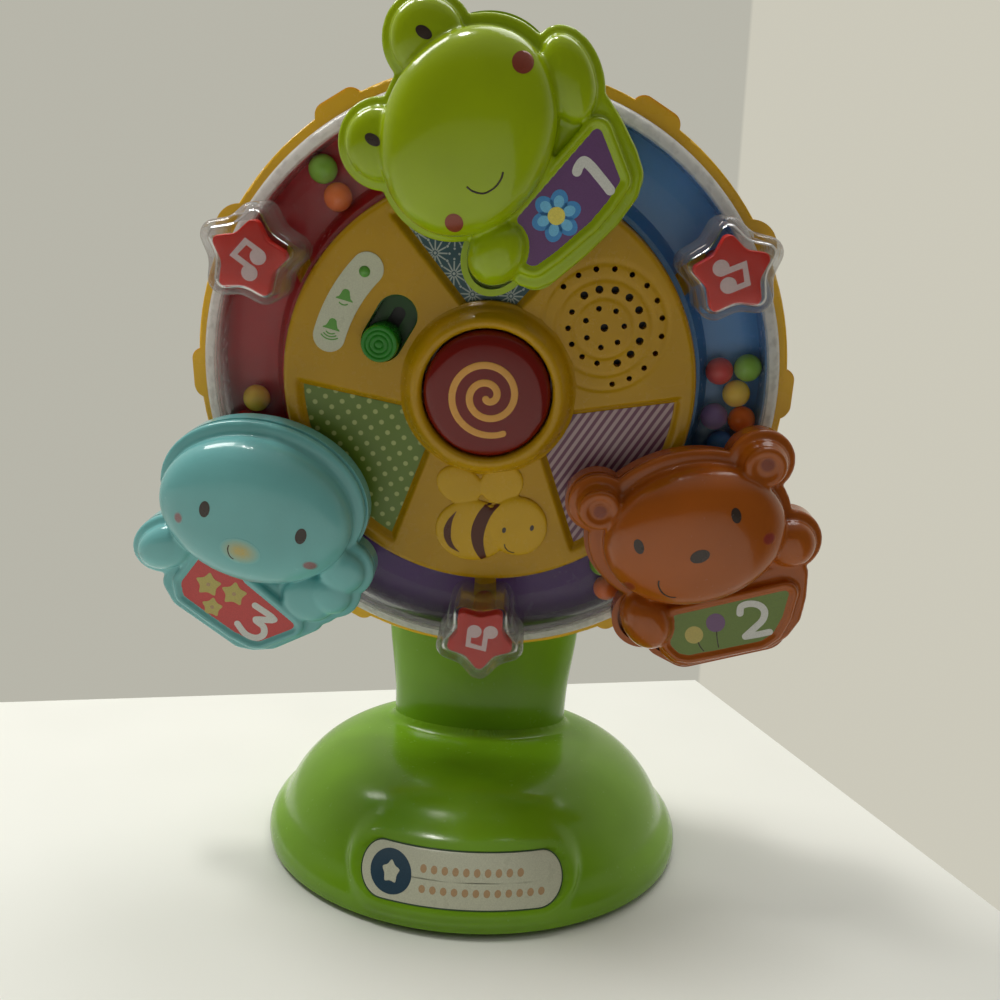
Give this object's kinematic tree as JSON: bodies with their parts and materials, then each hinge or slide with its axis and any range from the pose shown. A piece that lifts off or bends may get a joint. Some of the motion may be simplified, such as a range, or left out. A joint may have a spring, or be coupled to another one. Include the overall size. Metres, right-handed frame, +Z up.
{
  "type": "baby spinner toy",
  "caption": "Leaning picture wheel that spins on a domed suction stand, with swivelling animals, a press button, a volume slider and loose beads in a clear track.",
  "frame": {"origin": "centre of the suction cup's lip on the surface it stands on", "axes": "+Z up, -Y towards the viewer of the wheel's face, +X to the viewer's right"},
  "size_m": [0.2255, 0.174, 0.2812],
  "materials": {
    "green_shell": "glossy",
    "white_label": "satin",
    "suction_rubber": "matte",
    "steel": "satin",
    "yellow_shell": "glossy",
    "yellow_panel": "glossy",
    "black_plastic": "matte",
    "white_plastic": "matte",
    "cell_metal": "satin",
    "contact_brass": "satin",
    "blue_track": "glossy",
    "red_track": "glossy",
    "purple_track": "glossy",
    "clear_cover": "clear",
    "red_insert": "glossy",
    "blue_print": "printed",
    "green_print": "printed",
    "purple_print": "printed",
    "red_lens": "translucent",
    "board_green": "satin",
    "slot_green": "satin",
    "knob_green": "glossy",
    "frog_green": "glossy",
    "bird_blue": "glossy",
    "bear_orange": "glossy",
    "frog_sign": "printed",
    "bird_sign": "printed",
    "bear_sign": "printed",
    "bead_mix": "glossy"
  },
  "bodies": {
    "stand": {"base_shell": "green_shell", "base_plate": "green_shell", "base_screws": "steel", "suction_cup": "suction_rubber", "label_plate": "white_label", "neck_front": "green_shell", "neck_rear": "green_shell", "neck_screws": "steel", "axle": "steel", "axle_keeper": "steel", "axle_screw": "steel", "axle_spacer": "white_plastic"},
    "wheel": {"wheel_bush": "white_plastic", "back_shell": "yellow_shell", "battery_door": "yellow_shell", "door_screw": "steel", "battery_box": "black_plastic", "battery_cells": "cell_metal", "battery_contacts": "contact_brass", "track_blue": "blue_track", "track_red": "red_track", "track_purple": "purple_track", "clear_cover": "clear_cover", "star_insert_right": "red_insert", "star_insert_left": "red_insert", "star_insert_bottom": "red_insert", "centre_panel": "yellow_panel", "sticker_blue": "blue_print", "sticker_green": "green_print", "sticker_purple": "purple_print", "hub_ring": "yellow_panel", "circuit_board": "board_green", "contact_switch": "black_plastic", "speaker": "black_plastic", "slot_plate": "slot_green", "slide_switch": "black_plastic", "volume_scale": "white_label", "bee_relief": "yellow_panel", "pivot_frog": "white_plastic", "pivot_bird": "white_plastic", "pivot_bear": "white_plastic"},
    "light_button": {"light_button": "red_lens"},
    "volume_knob": {"volume_knob": "knob_green"},
    "frog": {"frog_front": "frog_green", "frog_back": "frog_green", "frog_sign": "frog_sign"},
    "bird": {"bird_front": "bird_blue", "bird_back": "bird_blue", "bird_sign": "bird_sign"},
    "bear": {"bear_front": "bear_orange", "bear_back": "bear_orange", "bear_sign": "bear_sign"},
    "beads_upper_left": {"beads_upper_left": "bead_mix"},
    "beads_lower_left": {"beads_lower_left": "bead_mix"},
    "beads_right": {"beads_right": "bead_mix"},
    "beads_bottom": {"beads_bottom": "bead_mix"}
  },
  "joints": [
    {"name": "wheel_spin", "type": "hinge", "parent": "stand", "child": "wheel", "pos_m": [0, -0.0484, 0.172], "axis": [0, -0.9781, -0.2079], "continuous": true},
    {"name": "button_press", "type": "slide", "parent": "wheel", "child": "light_button", "axis": [0, 0.9781, 0.2079], "range_m": [0, 0.0018], "stiffness_N_per_m": 600, "springref_m": -0.0008},
    {"name": "volume_slide", "type": "slide", "parent": "wheel", "child": "volume_knob", "axis": [0.5, -0.1801, 0.8471], "range_m": [0, 0.0096]},
    {"name": "frog_turn", "type": "hinge", "parent": "wheel", "child": "frog", "pos_m": [0, -0.07012, 0.24917], "axis": [0, -0.9781, -0.2079], "continuous": true},
    {"name": "bird_turn", "type": "hinge", "parent": "wheel", "child": "bird", "pos_m": [-0.06928, -0.04517, 0.13179], "axis": [0, -0.9781, -0.2079], "continuous": true},
    {"name": "bear_turn", "type": "hinge", "parent": "wheel", "child": "bear", "pos_m": [0.06928, -0.04517, 0.13179], "axis": [0, -0.9781, -0.2079], "continuous": true},
    {"name": "beads_upper_left_roll", "type": "hinge", "parent": "wheel", "child": "beads_upper_left", "pos_m": [0, -0.0484, 0.172], "axis": [0, -0.9781, -0.2079], "range_deg": [-33.6, 13.3]},
    {"name": "beads_lower_left_roll", "type": "hinge", "parent": "wheel", "child": "beads_lower_left", "pos_m": [0, -0.0484, 0.172], "axis": [0, -0.9781, -0.2079], "range_deg": [-29.7, 0]},
    {"name": "beads_right_roll", "type": "hinge", "parent": "wheel", "child": "beads_right", "pos_m": [0, -0.0484, 0.172], "axis": [0, -0.9781, -0.2079], "range_deg": [0, 18.2]},
    {"name": "beads_bottom_roll", "type": "hinge", "parent": "wheel", "child": "beads_bottom", "pos_m": [0, -0.0484, 0.172], "axis": [0, -0.9781, -0.2079], "range_deg": [-24.6, 19.6]}
  ]
}
